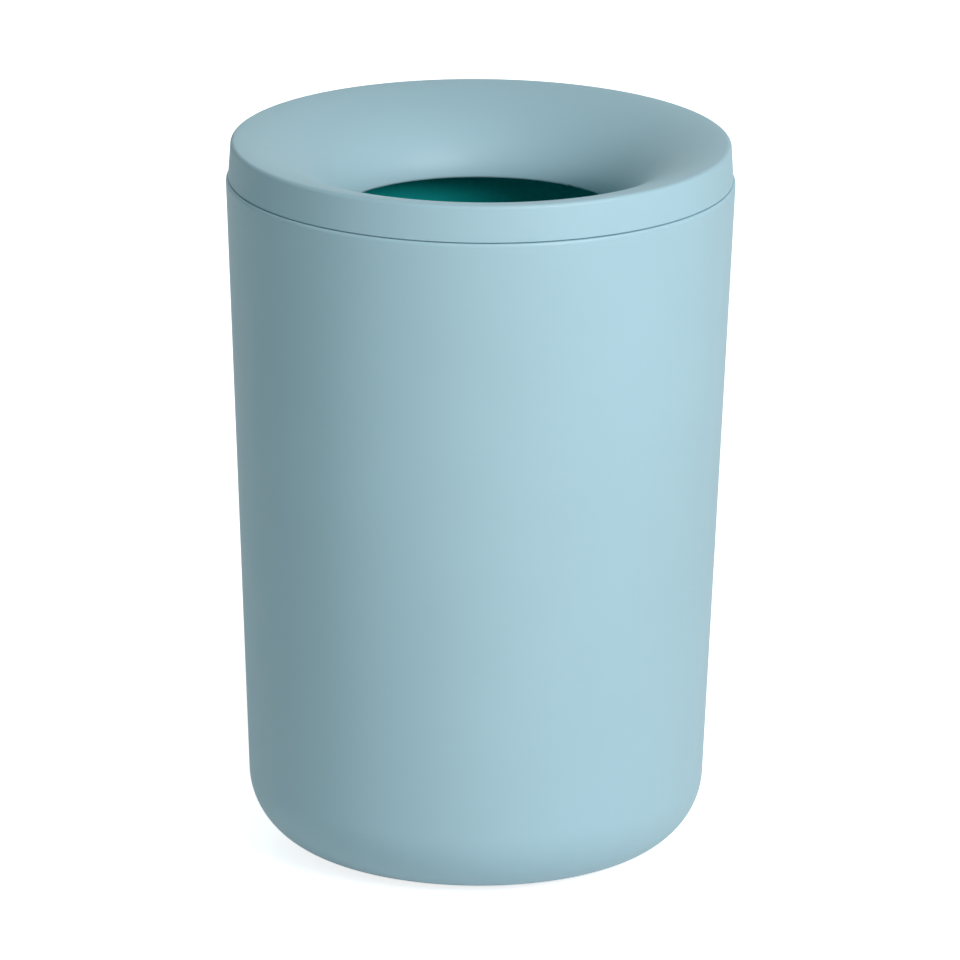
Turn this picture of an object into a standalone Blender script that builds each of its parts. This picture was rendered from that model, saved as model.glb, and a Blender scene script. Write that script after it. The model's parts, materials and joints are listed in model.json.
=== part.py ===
"""Bathroom bin: an outer body on rubber pads, an inner bucket with a bail, and a funnel lid.

All sizes are in metres. +Z is up, and the origin is on the floor, in the middle of the pads.
The outer body carries everything: the bucket stands on its floor, and the lid on its rim.
A profile is a list of (radius, height) points, which a Screw modifier turns about the Z axis.
"""

import math

import bmesh
import bpy

# Fits and fineness that all pieces share
FIT_GAP = 0.0003
CUT_OVERRUN = 0.0020
WELD_DISTANCE = 0.00001
TURN_STEPS = 60
CORNER_STEPS = 7
ROUND_STEPS = 3
DISH_STEPS = 12
BAR_SIDES = 20
SHARP_ANGLE = math.radians(32)

# Outer body: radii are outside ones, where the straight side meets the planes of rim and base
BODY_RIM_RADIUS = 0.1000
BODY_BASE_RADIUS = 0.0892
BODY_HEIGHT = 0.2710
BODY_WALL = 0.0030
BODY_FLOOR = 0.0034
BODY_CORNER_RADIUS = 0.0290
BODY_RIM_ROUND = 0.0009
BODY_BORE_ROUND = 0.0004
BASE_RECESS_RADIUS = 0.0300
BASE_RECESS_DEPTH = 0.0010

# Rubber pads, let into pockets in the base
PAD_COUNT = 4
PAD_RADIUS = 0.0080
PAD_THICKNESS = 0.0025
PAD_PROUD = 0.0010
PAD_EDGE_ROUND = 0.0004
PAD_CIRCLE_RADIUS = 0.0460
PAD_TURN_STEPS = 20

# Lid: its side stands in from the body's side, and its top is a dish that falls to the hole
LID_STEP_IN = 0.0009
LID_HEIGHT = 0.0145
LID_SIDE_TAPER = 0.0008
LID_EDGE_ROUND = 0.0016
LID_RIM_LAND = 0.0002
LID_WALL = 0.0022
HOLE_RADIUS = 0.0560
HOLE_DROP = 0.0157
DISH_RADIUS_POWER = 1.29
DISH_HEIGHT_POWER = 1.04
NICK_RADIUS = 0.0006
NICK_SIDES = 8
NICK_AZIMUTH = math.radians(50.3)

# Ribs under the lid, which stiffen the dish and centre the lid in the body
RIB_COUNT = 12
RIB_THICKNESS = 0.0016
RIB_DEPTH = 0.0060
RIB_LEAD_IN = 0.0012
RIB_CLEARANCE = 0.0006
RIB_TIP_WIDTH = 0.0050
RIB_REACH_SHARE = 0.34

# Inner bucket
BUCKET_WALL = 0.0020
BUCKET_FLOOR = 0.0022
BUCKET_BASE_CLEARANCE = 0.0085
BUCKET_RIM_CLEARANCE = 0.0008
BUCKET_RIM_WIDTH = 0.0084
BUCKET_RIM_TURN_DOWN = 0.0050
BUCKET_EDGE_ROUND = 0.0006
BUCKET_RECESS_SHARE = 0.80
BUCKET_RECESS_DEPTH = 0.0008

# Ears on the bucket's rim, which carry the bail
EAR_THICKNESS = 0.0030
EAR_RADIUS = 0.0045

# Bail: a bent wire with a moulded grip
WIRE_RADIUS = 0.0015
WIRE_BEND_RADIUS = 0.0035
WIRE_END_PROUD = 0.0008
WIRE_BEVEL_STEPS = 2
BAIL_STEPS = 36
BEND_STEPS = 4
BAIL_HEADROOM = 0.0010
BAIL_SIDE_CLEARANCE = 0.0004
GRIP_RADIUS = 0.0040
GRIP_LENGTH = 0.0800
GRIP_END_LENGTH = 0.0010
GRIP_END_SHARE = 0.72
GRIP_STEPS = 14
GRIP_BEVEL_STEPS = 3

# Finish of each material: linear colour, roughness and metallic value
BODY_BLUE = ((0.40, 0.61, 0.69), 0.42, 0.0)
LID_BLUE = ((0.40, 0.61, 0.69), 0.40, 0.0)
BUCKET_TEAL = ((0.004, 0.430, 0.390), 0.50, 0.0)
GRIP_TEAL = ((0.004, 0.430, 0.390), 0.45, 0.0)
WIRE_GREY = ((0.58, 0.59, 0.60), 0.28, 1.0)
PAD_GREY = ((0.06, 0.07, 0.07), 0.80, 0.0)

# Turns, and the directions that they give in a profile's plane
QUARTER_TURN = math.pi / 2
HALF_TURN = math.pi
FULL_TURN = 2 * math.pi
OUTWARD = 0.0
UPWARD = QUARTER_TURN
INWARD = HALF_TURN
DOWNWARD = -QUARTER_TURN

# Heights of the pieces above the floor
BODY_Z = PAD_PROUD
BODY_RIM_Z = BODY_Z + BODY_HEIGHT
LID_Z = BODY_RIM_Z + FIT_GAP
BUCKET_Z = BODY_Z + BODY_FLOOR + FIT_GAP
BUCKET_RIM_Z = LID_Z - RIB_DEPTH - BAIL_HEADROOM - 2 * GRIP_RADIUS - FIT_GAP
PIVOT_Z = BUCKET_RIM_Z + FIT_GAP + GRIP_RADIUS

# Radii that follow from the driving sizes
BORE_RADIUS = BODY_RIM_RADIUS - BODY_WALL
BORE_BASE_RADIUS = BODY_BASE_RADIUS - BODY_WALL
LID_SEAM_RADIUS = BODY_RIM_RADIUS - LID_STEP_IN
LID_TOP_RADIUS = LID_SEAM_RADIUS - LID_SIDE_TAPER
LID_SKIRT_INSIDE = LID_TOP_RADIUS - LID_WALL
BUCKET_HEIGHT = BUCKET_RIM_Z - BUCKET_Z


def line_radius(low, high, z):
    """Radius at height z on the straight line between two profile points."""
    share = (z - low[1]) / (high[1] - low[1])
    return low[0] + (high[0] - low[0]) * share


def bore_radius_at(z):
    """Radius of the outer body's straight inner side at world height z."""
    return line_radius((BORE_BASE_RADIUS, BODY_Z + BODY_FLOOR), (BORE_RADIUS, BODY_RIM_Z), z)


BUCKET_RIM_RADIUS = bore_radius_at(BUCKET_RIM_Z - BUCKET_RIM_TURN_DOWN) - BUCKET_RIM_CLEARANCE
BUCKET_TOP_RADIUS = BUCKET_RIM_RADIUS - BUCKET_RIM_WIDTH
BUCKET_BASE_RADIUS = BORE_BASE_RADIUS - BUCKET_BASE_CLEARANCE
EAR_OUTSIDE_X = BUCKET_TOP_RADIUS
EAR_INSIDE_X = EAR_OUTSIDE_X - EAR_THICKNESS
BAIL_ARM_X = EAR_OUTSIDE_X + BAIL_SIDE_CLEARANCE + WIRE_BEND_RADIUS


def new_collection(name):
    collection = bpy.data.collections.new(name)
    bpy.context.scene.collection.children.link(collection)
    return collection


def clear_scene():
    for obj in list(bpy.data.objects):
        bpy.data.objects.remove(obj, do_unlink=True)


def make_material(name, finish):
    colour, roughness, metallic = finish
    material = bpy.data.materials.new(name)
    material.use_nodes = True
    shader = material.node_tree.nodes["Principled BSDF"]
    shader.inputs["Base Color"].default_value = (*colour, 1.0)
    shader.inputs["Roughness"].default_value = roughness
    shader.inputs["Metallic"].default_value = metallic
    return material


def add_empty(name, z, parent, collection):
    """A joint's place, which carries the pieces that move on it."""
    empty = bpy.data.objects.new(name, None)
    collection.objects.link(empty)
    empty.parent = parent
    parent_z = parent.matrix_world.translation.z if parent else 0.0
    empty.location = (0.0, 0.0, z - parent_z)
    bpy.context.view_layer.update()
    return empty


def freeze(obj):
    """Give an object the mesh that its modifiers make, shaded smooth up to the sharp angle."""
    graph = bpy.context.evaluated_depsgraph_get()
    mesh = bpy.data.meshes.new_from_object(obj.evaluated_get(graph))
    obj.modifiers.clear()
    obj.data = mesh
    mesh.shade_smooth()
    mesh.set_sharp_from_angle(angle=SHARP_ANGLE)


def arc(centre, radius, start, end, steps):
    """Points on an arc in a profile's plane, from one direction to another."""
    angles = [start + (end - start) * step / steps for step in range(steps + 1)]
    return [(centre[0] + radius * math.cos(a), centre[1] + radius * math.sin(a)) for a in angles]


def turned(name, profile, collection, closed=False, steps=TURN_STEPS):
    """Turn a profile about the Z axis. At +X it runs down the outer side, top to bottom."""
    mesh = bpy.data.meshes.new(name)
    bm = bmesh.new()
    verts = [bm.verts.new((radius, 0.0, z)) for radius, z in profile]
    for first, second in zip(verts, verts[1:]):
        bm.edges.new((first, second))
    if closed:
        bm.edges.new((verts[-1], verts[0]))
    bm.to_mesh(mesh)
    bm.free()
    obj = bpy.data.objects.new(name, mesh)
    collection.objects.link(obj)
    screw = obj.modifiers.new("turn", "SCREW")
    screw.axis = "Z"
    screw.steps = steps
    screw.render_steps = steps
    screw.use_merge_vertices = True
    screw.merge_threshold = WELD_DISTANCE
    freeze(obj)
    return obj


def curve_to_mesh(curve, collection):
    """Turn a curve into a closed mesh object of the same name and place."""
    source = bpy.data.objects.new(curve.name, curve)
    collection.objects.link(source)
    graph = bpy.context.evaluated_depsgraph_get()
    mesh = bpy.data.meshes.new_from_object(source.evaluated_get(graph))
    name = source.name
    bpy.data.objects.remove(source, do_unlink=True)
    bm = bmesh.new()
    bm.from_mesh(mesh)
    bmesh.ops.remove_doubles(bm, verts=bm.verts, dist=WELD_DISTANCE)
    bmesh.ops.recalc_face_normals(bm, faces=bm.faces)
    bm.to_mesh(mesh)
    bm.free()
    mesh.shade_smooth()
    mesh.set_sharp_from_angle(angle=SHARP_ANGLE)
    obj = bpy.data.objects.new(name, mesh)
    collection.objects.link(obj)
    return obj


def plate(name, outline, thickness, collection):
    """A flat outline made solid, upright in its own XZ plane."""
    curve = bpy.data.curves.new(name, "CURVE")
    curve.dimensions = "2D"
    curve.fill_mode = "BOTH"
    curve.extrude = thickness / 2
    spline = curve.splines.new("POLY")
    spline.points.add(len(outline) - 1)
    for point, (across, up) in zip(spline.points, outline):
        point.co = (across, up, 0.0, 1.0)
    spline.use_cyclic_u = True
    obj = curve_to_mesh(curve, collection)
    obj.rotation_euler.x = QUARTER_TURN
    return obj


def tube(name, path, radius, bevel_steps, collection, end_share=1.0):
    """A round bar along a path in the XY plane, its two end rings drawn in to a share."""
    curve = bpy.data.curves.new(name, "CURVE")
    curve.dimensions = "3D"
    curve.bevel_depth = radius
    curve.bevel_resolution = bevel_steps
    curve.use_fill_caps = True
    spline = curve.splines.new("POLY")
    spline.points.add(len(path) - 1)
    for point, (x, y) in zip(spline.points, path):
        point.co = (x, y, 0.0, 1.0)
    spline.points[0].radius = end_share
    spline.points[-1].radius = end_share
    return curve_to_mesh(curve, collection)


def as_tool(obj):
    """Mark an object as a guide for a Boolean, which isn't part of the bin."""
    obj.hide_render = True
    obj.display_type = "WIRE"
    return obj


def combine(obj, tool, operation, label):
    boolean = obj.modifiers.new(label, "BOOLEAN")
    boolean.operation = operation
    boolean.solver = "EXACT"
    boolean.object = as_tool(tool)


def even_out_shading(obj):
    """Let the large faces rule the shading where a Boolean leaves long thin ones."""
    weighted = obj.modifiers.new("even_shading", "WEIGHTED_NORMAL")
    weighted.keep_sharp = True


def bar_tool(name, radius, length, centre, rotation, collection, sides=BAR_SIDES):
    """A round bar for cutting, which runs along its own Z axis."""
    bpy.ops.mesh.primitive_cylinder_add(
        vertices=sides, radius=radius, depth=length, location=centre, rotation=rotation
    )
    tool = bpy.context.active_object
    tool.name = name
    for owner in list(tool.users_collection):
        owner.objects.unlink(tool)
    collection.objects.link(tool)
    return tool


def place(obj, parent, material, z=0.0):
    """Hang a piece on its parent empty, at a height above it, and give it its material."""
    obj.parent = parent
    obj.location.z = z
    obj.data.materials.clear()
    obj.data.materials.append(material)
    return obj


def pail_outline(rim_radius, base_radius, height, corner_radius):
    """Corner and side of a tapered pail, from the edge of its flat base up to its rim."""
    taper = math.atan((rim_radius - base_radius) / height)
    centre_r = base_radius + corner_radius * math.tan(taper) - corner_radius / math.cos(taper)
    corner = arc((centre_r, corner_radius), corner_radius, DOWNWARD, -taper, CORNER_STEPS)
    return corner + [(rim_radius, height)]


def raised(points, height):
    return [(radius, z + height) for radius, z in points]


def recess_outline(radius, depth):
    """Underside of a base from the edge of its shallow recess in to the middle."""
    return [(radius, 0.0), (radius - depth, depth), (0.0, depth)]


def pad_places():
    """Middle of each pad, seen from above, evenly round the base."""
    angles = [FULL_TURN * (index + 0.5) / PAD_COUNT for index in range(PAD_COUNT)]
    return [(PAD_CIRCLE_RADIUS * math.cos(a), PAD_CIRCLE_RADIUS * math.sin(a)) for a in angles]


def make_outer_body(parts, tools, parent, material):
    """The pail: a thick tapered wall with a round rim, and pockets for the pads underneath."""
    outside = pail_outline(BODY_RIM_RADIUS, BODY_BASE_RADIUS, BODY_HEIGHT, BODY_CORNER_RADIUS)
    inside = raised(
        pail_outline(
            BORE_RADIUS,
            BORE_BASE_RADIUS,
            BODY_HEIGHT - BODY_FLOOR,
            BODY_CORNER_RADIUS - BODY_WALL,
        ),
        BODY_FLOOR,
    )
    bore_centre = (BORE_RADIUS + BODY_BORE_ROUND, BODY_HEIGHT - BODY_BORE_ROUND)
    rim_centre = (BODY_RIM_RADIUS - BODY_RIM_ROUND, BODY_HEIGHT - BODY_RIM_ROUND)
    profile = [(0.0, BODY_FLOOR)]
    profile += inside[:-1]
    profile += arc(bore_centre, BODY_BORE_ROUND, INWARD, UPWARD, ROUND_STEPS)
    profile += arc(rim_centre, BODY_RIM_ROUND, UPWARD, OUTWARD, ROUND_STEPS)
    profile += reversed(outside[:-1])
    profile += recess_outline(BASE_RECESS_RADIUS, BASE_RECESS_DEPTH)
    body = place(turned("outer_body", profile, parts), parent, material, BODY_Z)
    pocket_depth = PAD_THICKNESS - PAD_PROUD + FIT_GAP
    for number, (x, y) in enumerate(pad_places(), start=1):
        cutter = bar_tool(
            f"pad_pocket_{number}",
            PAD_RADIUS + FIT_GAP,
            pocket_depth + CUT_OVERRUN,
            (x, y, BODY_Z + (pocket_depth - CUT_OVERRUN) / 2),
            (0.0, 0.0, 0.0),
            tools,
        )
        combine(body, cutter, "DIFFERENCE", cutter.name)
    even_out_shading(body)


def make_pads(parts, parent, material):
    """Rubber pads: short discs with a soft lower edge, a little proud of the base."""
    edge_centre = (PAD_RADIUS - PAD_EDGE_ROUND, PAD_EDGE_ROUND)
    profile = [(0.0, PAD_THICKNESS), (PAD_RADIUS, PAD_THICKNESS)]
    profile += arc(edge_centre, PAD_EDGE_ROUND, OUTWARD, DOWNWARD, ROUND_STEPS)
    profile += [(0.0, 0.0)]
    for number, (x, y) in enumerate(pad_places(), start=1):
        pad = turned(f"foot_pad_{number}", profile, parts, steps=PAD_TURN_STEPS)
        place(pad, parent, material)
        pad.location.x = x
        pad.location.y = y


def dish_outline(inset):
    """Funnel surface from the lid's rim down to the hole, moved into the wall by an inset.

    The plain curve is level at the rim and upright at the hole. Points that the inset
    would push past the inside of the skirt are left out.
    """
    rim_radius = LID_TOP_RADIUS - LID_EDGE_ROUND - LID_RIM_LAND
    lip_z = LID_WALL / 2 - HOLE_DROP
    points = []
    for step in range(DISH_STEPS + 1):
        angle = QUARTER_TURN * step / DISH_STEPS
        across = max(math.sin(angle), 0.0) ** DISH_RADIUS_POWER
        down = 1 - max(math.cos(angle), 0.0) ** DISH_HEIGHT_POWER
        radius = rim_radius - (rim_radius - HOLE_RADIUS) * across
        points.append((radius, LID_HEIGHT - (LID_HEIGHT - lip_z) * down))
    if not inset:
        return points
    moved = []
    for index, (radius, z) in enumerate(points):
        before = points[max(index - 1, 0)]
        after = points[min(index + 1, DISH_STEPS)]
        run = before[0] - after[0]
        fall = before[1] - after[1]
        slope_length = math.hypot(run, fall)
        if index == DISH_STEPS:
            run, fall, slope_length = 0.0, 1.0, 1.0
        moved.append((radius + inset * fall / slope_length, z - inset * run / slope_length))
    return [point for point in moved if point[0] < LID_SKIRT_INSIDE - LID_RIM_LAND]


def rib_outline():
    """Side view of one rib: its top is sunk in the dish's wall and its outer end in the skirt."""
    inner_radius = LID_SKIRT_INSIDE - RIB_REACH_SHARE * (LID_SKIRT_INSIDE - HOLE_RADIUS)
    top = [point for point in dish_outline(LID_WALL / 2) if point[0] > inner_radius]
    sunk_radius = LID_SKIRT_INSIDE + LID_WALL / 2
    locating_radius = bore_radius_at(LID_Z - RIB_DEPTH) - RIB_CLEARANCE
    outline = [(sunk_radius, top[0][1] - LID_EDGE_ROUND)]
    outline += top
    outline += [
        (locating_radius - RIB_TIP_WIDTH - RIB_LEAD_IN, -RIB_DEPTH),
        (locating_radius - RIB_LEAD_IN, -RIB_DEPTH),
        (locating_radius, RIB_LEAD_IN - RIB_DEPTH),
        (locating_radius, FIT_GAP),
        (sunk_radius, FIT_GAP),
    ]
    return outline


def make_funnel_lid(parts, tools, parent, material):
    """The lid: a straight skirt and a dish that falls to the hole, ribbed underneath."""
    edge_centre = (LID_TOP_RADIUS - LID_EDGE_ROUND, LID_HEIGHT - LID_EDGE_ROUND)
    lip_centre = (HOLE_RADIUS + LID_WALL / 2, LID_WALL / 2 - HOLE_DROP)
    skirt_inside_base = LID_SEAM_RADIUS - LID_WALL
    underside = dish_outline(LID_WALL)
    profile = arc(edge_centre, LID_EDGE_ROUND, UPWARD, OUTWARD, ROUND_STEPS)
    profile += [(LID_SEAM_RADIUS, 0.0), (skirt_inside_base, 0.0)]
    profile += [(LID_SKIRT_INSIDE, underside[0][1] - LID_EDGE_ROUND)]
    profile += underside[:-1]
    profile += arc(lip_centre, LID_WALL / 2, OUTWARD, -INWARD, 2 * ROUND_STEPS)
    profile += reversed(dish_outline(0.0)[:-1])
    lid = place(turned("funnel_lid", profile, parts, closed=True), parent, material)
    for index in range(RIB_COUNT):
        rib = plate(f"lid_rib_{index + 1}", rib_outline(), RIB_THICKNESS, tools)
        rib.rotation_euler.z = FULL_TURN * (index + 0.5) / RIB_COUNT
        rib.location.z = LID_Z
        combine(lid, rib, "UNION", rib.name)
    nick = bar_tool(
        "lip_nick",
        NICK_RADIUS,
        LID_WALL + CUT_OVERRUN,
        (
            lip_centre[0] * math.cos(NICK_AZIMUTH),
            lip_centre[0] * math.sin(NICK_AZIMUTH),
            LID_Z - HOLE_DROP,
        ),
        (0.0, QUARTER_TURN, NICK_AZIMUTH),
        tools,
        sides=NICK_SIDES,
    )
    combine(lid, nick, "DIFFERENCE", nick.name)
    even_out_shading(lid)


def ear_outline():
    """Face of an ear: upright sides sunk in the bucket's rim, and a round top at the pivot."""
    pivot_height = PIVOT_Z - BUCKET_Z
    foot_height = BUCKET_HEIGHT - BUCKET_WALL / 2
    top = arc((0.0, pivot_height), EAR_RADIUS, OUTWARD, INWARD, 2 * CORNER_STEPS)
    return [(-EAR_RADIUS, foot_height), (EAR_RADIUS, foot_height)] + top


def make_inner_bucket(parts, tools, parent, material):
    """The bucket: a thin tapered pail with a turned-down rim and two ears for the bail."""
    corner_radius = BODY_CORNER_RADIUS - BODY_WALL
    outside = pail_outline(BUCKET_TOP_RADIUS, BUCKET_BASE_RADIUS, BUCKET_HEIGHT, corner_radius)
    inside_radius = BUCKET_TOP_RADIUS - BUCKET_WALL
    inside = raised(
        pail_outline(
            inside_radius,
            BUCKET_BASE_RADIUS - BUCKET_WALL,
            BUCKET_HEIGHT - BUCKET_FLOOR,
            corner_radius - BUCKET_WALL,
        ),
        BUCKET_FLOOR,
    )
    edge = BUCKET_EDGE_ROUND
    turn_down_z = BUCKET_HEIGHT - BUCKET_RIM_TURN_DOWN
    lip_underside_z = BUCKET_HEIGHT - BUCKET_WALL
    profile = [(0.0, BUCKET_FLOOR)]
    profile += inside[:-1]
    profile += arc(
        (inside_radius + edge, BUCKET_HEIGHT - edge), edge, INWARD, UPWARD, ROUND_STEPS
    )
    profile += arc(
        (BUCKET_RIM_RADIUS - edge, BUCKET_HEIGHT - edge), edge, UPWARD, OUTWARD, ROUND_STEPS
    )
    profile += [
        (BUCKET_RIM_RADIUS, turn_down_z),
        (BUCKET_RIM_RADIUS - BUCKET_WALL, turn_down_z),
        (BUCKET_RIM_RADIUS - BUCKET_WALL, lip_underside_z),
        (line_radius(outside[-2], outside[-1], lip_underside_z), lip_underside_z),
    ]
    profile += reversed(outside[:-1])
    profile += recess_outline(BUCKET_RECESS_SHARE * outside[0][0], BUCKET_RECESS_DEPTH)
    bucket = place(turned("inner_bucket", profile, parts), parent, material)
    ear_middle_x = (EAR_INSIDE_X + EAR_OUTSIDE_X) / 2
    for side, name in ((1, "ear_right"), (-1, "ear_left")):
        ear = plate(name, ear_outline(), EAR_THICKNESS, tools)
        ear.rotation_euler.z = QUARTER_TURN
        ear.location = (side * ear_middle_x, 0.0, BUCKET_Z)
        combine(bucket, ear, "UNION", name)
    drill = bar_tool(
        "pivot_drill",
        WIRE_RADIUS + FIT_GAP,
        2 * (EAR_OUTSIDE_X + CUT_OVERRUN),
        (0.0, 0.0, PIVOT_Z),
        (0.0, QUARTER_TURN, 0.0),
        tools,
    )
    combine(bucket, drill, "DIFFERENCE", drill.name)
    even_out_shading(bucket)


def bail_point(angle):
    """Point on the bail's bow, folded forward: angle 0 is its right end, half a turn its left."""
    depth = BAIL_ARM_X - WIRE_BEND_RADIUS
    return (BAIL_ARM_X * math.cos(angle), -WIRE_BEND_RADIUS - depth * math.sin(angle))


def bail_path():
    """Middle line of the wire: in from the right ear's hole, round the bow, and in again."""
    end_x = EAR_INSIDE_X - WIRE_END_PROUD
    bend_centre = (BAIL_ARM_X - WIRE_BEND_RADIUS, -WIRE_BEND_RADIUS)
    right = [(end_x, 0.0)] + arc(bend_centre, WIRE_BEND_RADIUS, UPWARD, OUTWARD, BEND_STEPS)
    bow = [bail_point(HALF_TURN * step / BAIL_STEPS) for step in range(1, BAIL_STEPS)]
    left = [(-x, y) for x, y in reversed(right)]
    return right + bow + left


def grip_path(extra_length):
    """Middle line of the grip, along the front of the bow and past its ends by a length."""
    half_angle = GRIP_LENGTH / 2 / BAIL_ARM_X
    end_angle = GRIP_END_LENGTH / BAIL_ARM_X
    extra_angle = extra_length / BAIL_ARM_X
    inner = half_angle - end_angle
    turns = [-half_angle - extra_angle]
    turns += [inner * (2 * step / GRIP_STEPS - 1) for step in range(GRIP_STEPS + 1)]
    turns += [half_angle + extra_angle]
    return [bail_point(QUARTER_TURN + turn) for turn in turns]


def make_bail(parts, tools, pivot, wire_material, grip_material):
    """The bail: a wire sprung into the ears, and a grip moulded round the middle of its bow."""
    wire = tube("bail_wire", bail_path(), WIRE_RADIUS, WIRE_BEVEL_STEPS, parts)
    place(wire, pivot, wire_material)
    grip = tube(
        "bail_grip", grip_path(0.0), GRIP_RADIUS, GRIP_BEVEL_STEPS, parts, GRIP_END_SHARE
    )
    place(grip, pivot, grip_material)
    core = tube(
        "grip_core",
        grip_path(CUT_OVERRUN),
        WIRE_RADIUS + FIT_GAP + BAIL_SIDE_CLEARANCE / 2,
        GRIP_BEVEL_STEPS,
        tools,
    )
    core.location.z = PIVOT_Z
    combine(grip, core, "DIFFERENCE", "bore")


def build():
    clear_scene()
    parts = new_collection("bathroom_bin")
    tools = new_collection("cutters")
    body_blue = make_material("body_blue", BODY_BLUE)
    lid_blue = make_material("lid_blue", LID_BLUE)
    bucket_teal = make_material("bucket_teal", BUCKET_TEAL)
    grip_teal = make_material("grip_teal", GRIP_TEAL)
    bright_wire = make_material("bright_wire", WIRE_GREY)
    pad_rubber = make_material("pad_rubber", PAD_GREY)
    bin_root = add_empty("bin_root", 0.0, None, parts)
    bucket_slide = add_empty("bucket_slide", BUCKET_Z, bin_root, parts)
    lid_slide = add_empty("lid_slide", LID_Z, bucket_slide, parts)
    bail_pivot = add_empty("bail_pivot", PIVOT_Z, bucket_slide, parts)
    make_outer_body(parts, tools, bin_root, body_blue)
    make_pads(parts, bin_root, pad_rubber)
    make_inner_bucket(parts, tools, bucket_slide, bucket_teal)
    make_funnel_lid(parts, tools, lid_slide, lid_blue)
    make_bail(parts, tools, bail_pivot, bright_wire, grip_teal)


build()
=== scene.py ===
# %% [markdown]
# # A bathroom bin, modelled and lit
#
# The bin is four mouldings, a bent wire and four rubber pads. Its true sizes are already fixed: they come
# as a frame of plain solids, one for each piece, all in metres with +Z up and the floor at zero. This
# lesson dresses that frame. Each piece is modelled again with the tools of edit mode, finer and rounder
# than its plain solid, and put in exactly the same place. Then come the finishes, the floor, the lamps
# and the camera.

import json
import math

import bmesh
import bpy
from mathutils import Euler, Matrix, Vector

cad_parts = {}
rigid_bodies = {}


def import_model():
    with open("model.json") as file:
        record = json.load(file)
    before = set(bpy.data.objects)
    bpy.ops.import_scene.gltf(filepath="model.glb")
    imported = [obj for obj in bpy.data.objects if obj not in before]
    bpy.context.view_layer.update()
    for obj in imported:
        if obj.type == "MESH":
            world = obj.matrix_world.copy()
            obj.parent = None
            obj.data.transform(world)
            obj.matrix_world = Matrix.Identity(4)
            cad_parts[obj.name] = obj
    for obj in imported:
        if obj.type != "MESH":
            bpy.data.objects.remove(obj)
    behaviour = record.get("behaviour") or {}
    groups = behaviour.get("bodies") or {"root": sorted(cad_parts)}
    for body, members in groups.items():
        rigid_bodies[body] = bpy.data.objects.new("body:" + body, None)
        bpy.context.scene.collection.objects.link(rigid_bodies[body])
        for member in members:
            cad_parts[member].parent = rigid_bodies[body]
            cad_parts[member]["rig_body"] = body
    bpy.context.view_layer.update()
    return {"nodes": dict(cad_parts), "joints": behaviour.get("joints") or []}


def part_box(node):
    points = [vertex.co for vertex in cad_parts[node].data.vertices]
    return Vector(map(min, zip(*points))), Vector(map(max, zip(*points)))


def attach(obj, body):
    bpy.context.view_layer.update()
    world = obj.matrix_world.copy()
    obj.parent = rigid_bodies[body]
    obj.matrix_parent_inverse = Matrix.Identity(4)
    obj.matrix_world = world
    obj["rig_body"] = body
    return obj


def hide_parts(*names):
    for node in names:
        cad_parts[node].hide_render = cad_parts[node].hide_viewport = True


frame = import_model()
print("nodes:", ", ".join(sorted(frame["nodes"])))

# %% [markdown]
# ## Camera
#
# The bin was photographed from far away with a long lens, a little from above. A long lens keeps upright
# sides nearly parallel, which is why the bin looks so calm. The camera is turned in three steps: tipped
# down from level, turned sideways by almost nothing, and rolled by half a degree, because the picture
# leans that much. It comes first, since every later choice is judged through it.

# %% The camera
CAMERA_LENS_MM = 380.0
CAMERA_DISTANCE = 3.841
CAMERA_HEIGHT = 1.2993
CAMERA_PITCH = 0.29123
CAMERA_YAW = 0.00018
CAMERA_ROLL = 0.00842
CAMERA_FAR = 100.0

camera = bpy.data.objects.new("portrait_camera", bpy.data.cameras.new("portrait_camera"))
bpy.context.scene.collection.objects.link(camera)
aim = Euler((math.pi / 2 - CAMERA_PITCH, 0.0, -CAMERA_YAW)).to_matrix().to_4x4()
camera.matrix_world = (
    Matrix.Translation((0.0, -CAMERA_DISTANCE, CAMERA_HEIGHT)) @ aim @ Matrix.Rotation(CAMERA_ROLL, 4, "Z")
)
camera.data.lens = CAMERA_LENS_MM
camera.data.clip_end = CAMERA_FAR
bpy.context.scene.camera = camera
bpy.context.scene.view_settings.view_transform = "Standard"
print("camera at", [round(value, 3) for value in camera.location])

# %% [markdown]
# ## Sizes
#
# Whatever a node's box can tell is read from it, so that the pieces can't drift from the frame: radii,
# heights, the thickness of the wire. What a box can't tell, such as a wall's thickness or how round an
# edge is, has a name and a value of its own, given where the piece is made. The body comes first, because
# it carries the rest.

# %% The body's sizes, read from the frame
body_low, body_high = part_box("outer_body")
BODY_Z = body_low.z
BODY_RIM_Z = body_high.z
BODY_RIM_RADIUS = body_high.x
print("body: radius and height of its rim in mm:", 1000 * BODY_RIM_RADIUS, 1000 * BODY_RIM_Z)

# %% [markdown]
# ## Helpers for selecting
#
# An operator acts on everything that is selected, and the frame arrives selected. So each step first
# clears the selection and then picks what it needs by its place, the way a modeller would click on it.

# %% Selecting by place
NEARLY = 0.00001
FLAT_ENOUGH = 0.9
UP = 1
DOWN = -1


def select_only(obj):
    bpy.ops.object.select_all(action="DESELECT")
    obj.select_set(True)
    bpy.context.view_layer.objects.active = obj


def settle(obj):
    """Move the object's place into its mesh, so that numbers in the mesh are places in the frame."""
    select_only(obj)
    bpy.ops.object.transform_apply(location=True, rotation=True, scale=True)


def edit(obj):
    select_only(obj)
    bpy.ops.object.mode_set(mode="EDIT")
    bpy.ops.mesh.select_all(action="DESELECT")


def leave_edit():
    bpy.ops.object.mode_set(mode="OBJECT")


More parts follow.
